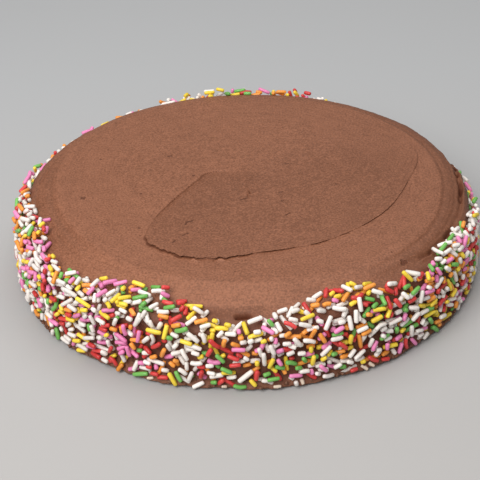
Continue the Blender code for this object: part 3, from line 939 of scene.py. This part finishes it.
class CAKE_OT_icing(bpy.types.Operator):
    """Spread the icing over the cake"""
    bl_idname = "cake.icing"
    bl_label = "Icing"

    def execute(self, context):
        settings = context.scene.cake_icing
        shape = CakeShape(settings, torn=True)
        angle = np.arange(ICING_SECTORS) * TURN / ICING_SECTORS
        points, values = self.relief(shape, angle[None, :], self.rows()[:, None])
        # A last ring just inside the foot keeps the bottom flat up to the rounding
        inner = points[-1] * [0.985, 0.985, 1.0]
        points = np.concatenate([points, inner[None]])
        values = {label: np.concatenate([v, v[-1:]]) for label, v in values.items()}
        rings, sectors = points.shape[:2]
        middle = [points[0].mean(axis=0), [0.0, 0.0, 0.0]]
        flat = np.concatenate([points.reshape(-1, 3), middle])
        faces = tube_faces(1, rings, sectors, rings * sectors)
        faces = [f[:, ::-1] for f in faces]
        data = {}
        for label, value in values.items():
            ends = [value[0].mean(axis=0), value[-1].mean(axis=0)]
            data[label] = np.concatenate([value.reshape(-1, *value.shape[2:]), ends])
        keep(put_mesh("icing", flat, faces, icing_finish(settings), data))
        return {"FINISHED"}

    def rows(self):
        """The rows of the icing's grid, as CakeShape.skin counts them: closest together at
        the spiral's edge, and wider apart from there to the border."""
        outside = 2.0 + 0.98 * np.linspace(0.02, 1.0, 29) ** 1.5
        return np.concatenate([
            np.linspace(0.03, 0.95, 26), [0.98, 1.0, 1.1, 1.25, 1.45, 1.65, 1.85, 2.0], outside,
            np.linspace(3.0, 3.96, 22), np.linspace(4.0, 4.96, 18), np.linspace(5.0, 6.0, 28),
            [6.2, 6.45, 6.7, 6.9, 7.0],
        ])

    def relief(self, shape, angle, row):
        """The skin with its fine relief, which moves points along radius and height. Gives
        the points, and for each of them the place along and across the strokes of the
        spatula, how much it is side rather than top, how much painted shade it takes in
        cracks and recesses, and its tone, which carries painted light and shade."""
        angle, row = np.broadcast_arrays(angle, row)
        points = shape.skin(angle, row)
        radius = np.hypot(points[..., 0], points[..., 1])
        border = shape.border_radius(angle)
        ledge = shape.ledge_radius(angle)
        place = on_ring(angle)
        torn_out, torn_shade = self.torn_lip(angle, row, place)
        sweep_up, tone_with_painted_light = self.sweeps(angle, row, radius, border, ledge, points)
        rim_up, rim_shade = self.rim_grooves(angle, row, radius, place)
        # painted shade in cracks and recesses
        recess_shade = np.maximum(torn_shade, rim_shade)

        side = smooth((row - 3.75) / 0.8)
        rough = ripple(points, SIDE_ROUGH_LENGTH, SEED + 40)
        rough = rough + 0.7 * ripple(points, SIDE_ROUGH_LENGTH / 2.4, SEED + 41)
        outward = torn_out + side * rough * SIDE_ROUGH * np.clip((7.0 - row) / 0.3, 0.0, 1.0)
        outward += smooth((row - 5.3) / 0.3) * skirt_reach(points)
        points[..., 0] += outward * np.cos(angle)
        points[..., 1] += outward * np.sin(angle)
        points[..., 2] += sweep_up + rim_up
        points[..., 2] = np.maximum(points[..., 2], np.where(row > 6.95, 0.0, 0.02 * MM))

        across = np.where(row < 1.5, ledge - radius, radius - border) / STROKE_WIDTH
        along = radius / STROKE_LENGTH
        stroke = np.stack([along * np.cos(angle), along * np.sin(angle), across], -1)
        shade = side * (1.0 - 0.42 * smooth((row - 5.75) / 0.2))
        return points, {"stroke": stroke, "side": shade, "recess_shade": recess_shade, "tone": tone_with_painted_light}

    def torn_lip(self, angle, row, place):
        """The spiral's edge stands out over a hollow where the icing tore. The tear is
        deep at the left front, and comes and goes along the rest. part runs from 0 at the
        edge's top to 1 at its foot. Gives how far each point moves outwards, and how much
        painted shade darkens it in the crack and under the lip."""
        step = through(LEDGE_STEP_MM, angle)
        overhang = smooth(step / 0.9)
        deep = window(angle, -140, -110, 10)
        patches = smooth(0.6 + 0.8 * ripple(place, 9.0 * MM, SEED + 22))
        torn = smooth(step / 0.45) * (deep + (1.0 - deep) * patches * 0.85)
        part = row - 1.0
        lip = np.interp(part, [-0.03, 0.0, 0.1, 0.25, 0.45], [0.0, 0.8, 1.0, 0.5, 0.0])
        hollow = np.interp(part, [0.25, 0.45, 0.65, 0.85, 1.0], [0.0, 1.0, 1.2, 0.4, 0.0])
        # painted shade in the crack under the torn lip
        recess_shade = torn * np.interp(part, [0.1, 0.3, 0.5, 0.85, 1.0], [0.0, 0.8, 1.0, 0.7, 0.0])
        under = np.clip(0.5 + 1.3 * ripple(place, 5.0 * MM, SEED + 27), 0.0, 1.0)
        foot = np.interp(part, [0.8, 0.95, 1.02, 1.06], [0.0, 0.9, 0.7, 0.0])
        recess_shade = np.maximum(recess_shade, window(angle, -138, -112, 6) * under * foot)
        outward = overhang * (0.3 + 0.7 * patches) * lip * LIP_REACH
        return outward - torn * hollow * LIP_HOLLOW, recess_shade

    def sweeps(self, angle, row, radius, border, ledge, points):
        """Low ridges and hollows that the spatula left along the border and the spiral,
        and a tone that paints light and shade: painted shade on the right and left rims,
        on the front shoulder and over the spiral's leaf, painted sheen on the front bevel,
        lighter flecks by the torn edge, and a top a little darker towards the right. past
        and beyond are the millimetres outside the border and outside the spiral's edge."""
        top = smooth(4.2 - row)
        past = (radius - border) / MM
        beyond = (radius - ledge) / MM
        right = window(angle, -52, 62, 26)
        left = window(angle, 156, 214, 24)
        front = window(angle, -116, -82, 10)
        up = 0.28 * window(angle, -58, 20, 24) * hill(past + 3.0, 3.2)
        up = up + 0.42 * window(angle, 122, 168, 18) * hill(beyond - 1.4, 1.2)
        flecks = np.clip(ripple(on_ring(angle), 2.8 * MM, SEED + 25) - 0.15, 0.0, 1.0)
        flecks = flecks * window(angle, -122, -88, 8) * hill(beyond - 1.1, 0.5)
        up = up + 0.8 * flecks
        up = up + right * (0.34 * hill(past - 5.0, 1.5) - 0.34 * hill(past - 1.9, 0.9))
        up = up + left * (0.25 * hill(past - 5.6, 1.1) - 0.38 * hill(past - 2.4, 1.6))
        wave = np.sin(past / 4.4 * math.pi + 1.3 * np.sin(2 * angle)) * 0.05
        fine = np.sin(past / 1.25 * math.pi + 2.0 * np.sin(3 * angle)) * 0.012
        up = up + smooth((row - 2.05) / 0.3) * (wave + fine)
        bevel = window(angle, -125, -60, 16) * smooth(past / 1.5)
        up = up + bevel * 0.11 * ripple(points, 2.3 * MM, SEED + 24)

        low = points[..., 1] / MM
        fade = 9.0 + 25.0 * smooth(points[..., 0] / (20 * MM))
        leaf = smooth(0.5 - beyond / 0.8) * (1.0 - smooth((low - 8.0) / fade))
        strong = window(angle, 110, 232, 30)
        # painted shade over the spiral's leaf, which slopes away from the light; the top is also
        # made darker towards the right and lighter towards the left
        tone = -leaf * (0.38 + 0.15 * strong) - 0.11 * np.clip(points[..., 0] / (75 * MM), -1, 1)
        # painted shade on the right and left rims, which slope away from the light
        tone = tone - right * smooth(past / 1.2) * (0.5 + 0.4 * smooth(past / 9.0))
        tone = tone - left * smooth(past / 1.5) * 0.45
        # painted sheen on the front bevel, painted shade on the front shoulder beyond it, and
        # lighter flecks by the torn edge
        edge = smooth((radius / MM - 92.0 - 0.3 * ripple(points, 5.0 * MM, SEED + 26)) / 1.6)
        tone = tone + front * smooth(past / 0.8) * 0.4 * (1.0 - edge) + flecks
        tone = tone - window(angle, -114, -86, 8) * edge * 0.75
        return top * up * MM, np.where(row < 4.6, tone, 0.0)

    def rim_grooves(self, angle, row, radius, place):
        """A groove with a thin lip outside it along the right of the rim, a small gap, a
        hollow and a torn flap at the front. Gives how far each point moves up, and how much
        painted shade darkens it in the groove, the gap, the hollow and under the flap. row
        keeps each of them off the wall below."""
        groove_radius = through(GROOVE_RADIUS_MM, angle)
        depth = 1.9 * window(angle, -40, -25, 8) + 2.0 * window(angle, -10, 28, 16)
        depth = depth + 0.5 * window(angle, -30, -4, 8) + 0.5 * window(angle, 160, 196, 14)
        wobble = ripple(place * 1.6, 9.0 * MM, SEED + 30) * 0.22
        across = radius / MM - groove_radius - wobble
        groove = hill(across, 0.8) * (row < 4.75)
        lip = hill(across - 1.5, 0.65) * (row < 4.9)
        lines = hill(across + 2.6, 0.5) + 0.8 * hill(across + 4.4, 0.45)
        lines = lines * window(angle, -36, 14, 10)
        ragged = np.clip(0.75 + 1.1 * ripple(place, 3.2 * MM, SEED + 31), 0.0, 1.5)
        up = lip * np.minimum(depth, 1.0) * (0.45 + 0.3 * ragged)
        up = up - groove * depth * (0.6 + 0.5 * ragged)
        up = up - lines * 0.22 * (row < 4.75)
        # painted shade in the groove
        recess_shade = groove * np.clip(depth - 0.4, 0.0, 1.0) * ragged

        gap = window(angle, -93.2, -89.6, 1) * hill(radius / MM - 96.7 - wobble, 1.1)
        dent = window(angle, -113, -95, 10) * hill(radius / MM - 95.0, 3.0)
        torn_radius = 97.0 - 0.25 * np.degrees(angle + math.radians(76))
        past_torn = radius / MM - torn_radius - wobble
        torn = window(angle, -86, -74, 4)
        up = up + torn * (0.75 * hill(past_torn + 0.4, 0.7) - 0.9 * hill(past_torn - 1.1, 0.8))
        up = up - (gap * 3.4 + dent * 0.9) * (row < 5.2)
        under_flap = torn * 0.5 * hill(past_torn - 1.1, 0.8)
        # painted shade in the gap, the dent and under the flap
        for shaded in (gap * 1.8, dent * 0.3, under_flap):
            recess_shade = np.maximum(recess_shade, shaded)
        return up * MM, recess_shade


class CAKE_OT_sprinkles(bpy.types.Operator):
    """Press the sprinkles, flakes and crumbs into the side, one mesh for each kind"""
    bl_idname = "cake.sprinkles"
    bl_label = "Sprinkles"

    def execute(self, context):
        settings = context.scene.cake_sprinkles
        shape = CakeShape(context.scene.cake_icing)
        rods = place_first_rods(shape, settings.thickness / 2)
        first = len(rods.middle)
        strew_sprinkles(shape, rods, settings)
        count = len(rods.middle)
        strew_debris(shape, rods, settings.flakes, SEED + 11, *FLAKE_SIZES)
        flaked = len(rods.middle)
        strew_debris(shape, rods, settings.crumbs, SEED + 12, *CRUMB_SIZES)
        everything = len(rods.middle)

        draw = np.random.default_rng(SEED + 8)
        colours = self.colours(rods.middle[:count], draw)
        length = 2.0 * np.linalg.norm(rods.half[:count], axis=1)
        bent = draw.uniform(0.0, 1.0, count)
        bend = np.where(bent < STRAIGHT_SHARE, 0.0, draw.normal(0.0, BEND_SPREAD, count)) * length
        sharp = (bent > 1.0 - SHARP_SHARE) & (length > SHARP_LENGTH)
        turned = draw.choice([-1.0, 1.0], count) * length * draw.uniform(*SHARP_BENDS, count)
        bend = np.where(sharp, turned, bend)
        kink = np.where(sharp, SHARP_KINK, ROUND_BEND)
        bend[:first] *= 0.5
        tone = np.clip(draw.normal(0.0, 0.55, everything), -1.0, 1.0)

        for number, (label, _) in enumerate(COLOUR_SHARES):
            own = np.flatnonzero(colours == number)
            finish = sugar_finish(f"{label}_sugar", getattr(settings, label), 0.36)
            name = f"sprinkles_{label}"
            self.piece(name, rods, own, bend[own], kink[own], tone, finish, SEED + 50 + number)
        for name, own, colour, form in (
            ("cream_flakes", np.arange(count, flaked), settings.cream, FLAKE_FORM),
            ("icing_crumbs", np.arange(flaked, everything), settings.crumb_colour, CRUMB_FORM),
        ):
            finish = sugar_finish(name, colour, 0.6)
            straight = np.zeros(len(own))
            kink = straight + ROUND_BEND
            self.piece(name, rods, own, straight, kink, tone, finish, SEED + 70, *form)
        return {"FINISHED"}

    def colours(self, places, draw):
        """A colour for each sprinkle, by the colours' shares, each share made larger or
        smaller from place to place, so that some colours lie in clusters."""
        weight = np.stack([
            share * np.exp(CLUSTER * ripple(places, CLUSTER_LENGTH, SEED + 60 + number))
            for number, (_, share) in enumerate(COLOUR_SHARES)
        ], -1)
        reach = weight.cumsum(-1) / weight.sum(-1, keepdims=True)
        pick = draw.uniform(0.0, 1.0, len(places))
        return np.minimum((pick[:, None] > reach).sum(-1), len(COLOUR_SHARES) - 1)

    def piece(self, name, rods, own, bend, kink, tone, finish, seed, *form):
        """One mesh of all the rods of one kind."""
        points, near, far = rod_points(
            rods.middle[own], rods.half[own], rods.out[own], rods.radius[own], bend, kink,
            seed, *form)
        many, rings, sides = points.shape[:3]
        poles = np.stack([near, far], axis=1).reshape(-1, 3)
        flat = np.concatenate([points.reshape(-1, 3), poles])
        values = np.concatenate([np.repeat(tone[own], rings * sides), np.repeat(tone[own], 2)])
        faces = tube_faces(many, rings, sides, many * rings * sides)
        keep(put_mesh(name, flat, faces, finish, {"tone": values}))


class CAKE_OT_stage(bpy.types.Operator):
    """Set the floor, the soft light and the camera"""
    bl_idname = "cake.stage"
    bl_label = "Stage"

    def execute(self, context):
        settings = context.scene.cake_stage
        scene = context.scene
        scene.view_settings.view_transform = "Standard"
        scene.view_settings.look = "None"
        self.floor(settings)
        self.lights(settings)
        self.camera(settings)
        return {"FINISHED"}

    def floor(self, settings):
        """A flat square, 6 m on a side, whose colour goes from a warm one in front to a cooler
        one behind: painted light, standing in for the warmer light that falls in front.
        """
        finish = Finish("pale_floor", Roughness=0.75, Specular_IOR_Level=0.2)
        place = finish.place()
        depth = finish.node("ShaderNodeSeparateXYZ", None, {"Vector": place}, output=1)
        share = (depth + 0.16) * 2.8 + finish.noise(place, 3.0, 2.0) * 0.1
        colours = rgba(settings.floor_front), rgba(settings.floor_back)
        finish.feed("Base Color", finish.mix(share.clamped(), *colours))
        corners = 3.0 * np.array([[-1, -1, 0], [1, -1, 0], [1, 1, 0], [-1, 1, 0]])
        floor = put_mesh("floor", corners, [np.array([[0, 1, 2, 3]])], finish.material)

    def lights(self, settings):
        """An even sky, and two large round lights that face the cake."""
        world = bpy.data.worlds.new("soft_sky")
        world.use_nodes = True
        sky = world.node_tree.nodes["Background"]
        sky.inputs["Color"].default_value = (1.0, 0.99, 0.98, 1.0)
        sky.inputs["Strength"].default_value = settings.sky
        bpy.context.scene.world = world
        for name, place, size, power in (
            ("key", (-0.40, -0.64, 0.80), 0.8, settings.key_power),
            ("top_light", (0.10, 0.30, 1.05), 1.0, settings.top_power),
        ):
            light = bpy.data.lights.new(name, "AREA")
            light.shape = "DISK"
            light.size = size
            light.energy = power
            light.color = (1.0, 0.985, 0.97)
            lamp = bpy.data.objects.new(name, light)
            aim = Vector((0.0, 0.0, 0.02)) - Vector(place)
            turned = aim.to_track_quat("-Z", "Y").to_matrix().to_4x4()
            lamp.matrix_world = Matrix.Translation(place) @ turned
            bpy.context.scene.collection.objects.link(lamp)

    def camera(self, settings):
        """A camera in front of the cake, tilted down to face its foot's middle."""
        data = bpy.data.cameras.new("camera")
        data.sensor_fit = "HORIZONTAL"
        data.angle = settings.view_angle
        data.shift_x = settings.shift_x
        data.shift_y = settings.shift_y
        data.clip_start = 0.01
        camera = bpy.data.objects.new("camera", data)
        back = Vector((0.0, -math.cos(settings.elevation), math.sin(settings.elevation)))
        tilt = Matrix.Rotation(math.pi / 2 - settings.elevation, 4, "X")
        roll = Matrix.Rotation(settings.roll, 4, "Z")
        camera.matrix_world = Matrix.Translation(back * settings.distance) @ tilt @ roll
        bpy.context.scene.collection.objects.link(camera)
        bpy.context.scene.camera = camera


class CAKE_PT_parts(bpy.types.Panel):
    """Lists the cake's pieces, each with a button that makes it"""
    bl_label = "Chocolate Cake"
    bl_idname = "CAKE_PT_parts"
    bl_space_type = "VIEW_3D"
    bl_region_type = "UI"
    bl_category = "Cake"

    def draw(self, context):
        for operator in OPERATORS:
            self.layout.operator(operator.bl_idname)


GROUPS = {
    "cake_icing": IcingSettings,
    "cake_sprinkles": SprinkleSettings,
    "cake_stage": StageSettings,
}
OPERATORS = (CAKE_OT_stage, CAKE_OT_icing, CAKE_OT_sprinkles)
CLASSES = (*GROUPS.values(), *OPERATORS, CAKE_PT_parts)


def register():
    """Adds the operators, the panel and the settings."""
    for item in CLASSES:
        bpy.utils.register_class(item)
    for name, group in GROUPS.items():
        setattr(bpy.types.Scene, name, PointerProperty(type=group))


def unregister():
    """Takes them out again."""
    for name in GROUPS:
        delattr(bpy.types.Scene, name)
    for item in reversed(CLASSES):
        bpy.utils.unregister_class(item)


def main():
    """Makes the whole cake and its stage."""
    register()
    bpy.ops.cake.stage()
    bpy.ops.cake.icing()
    bpy.ops.cake.sprinkles()


if __name__ == "__main__":
    main()
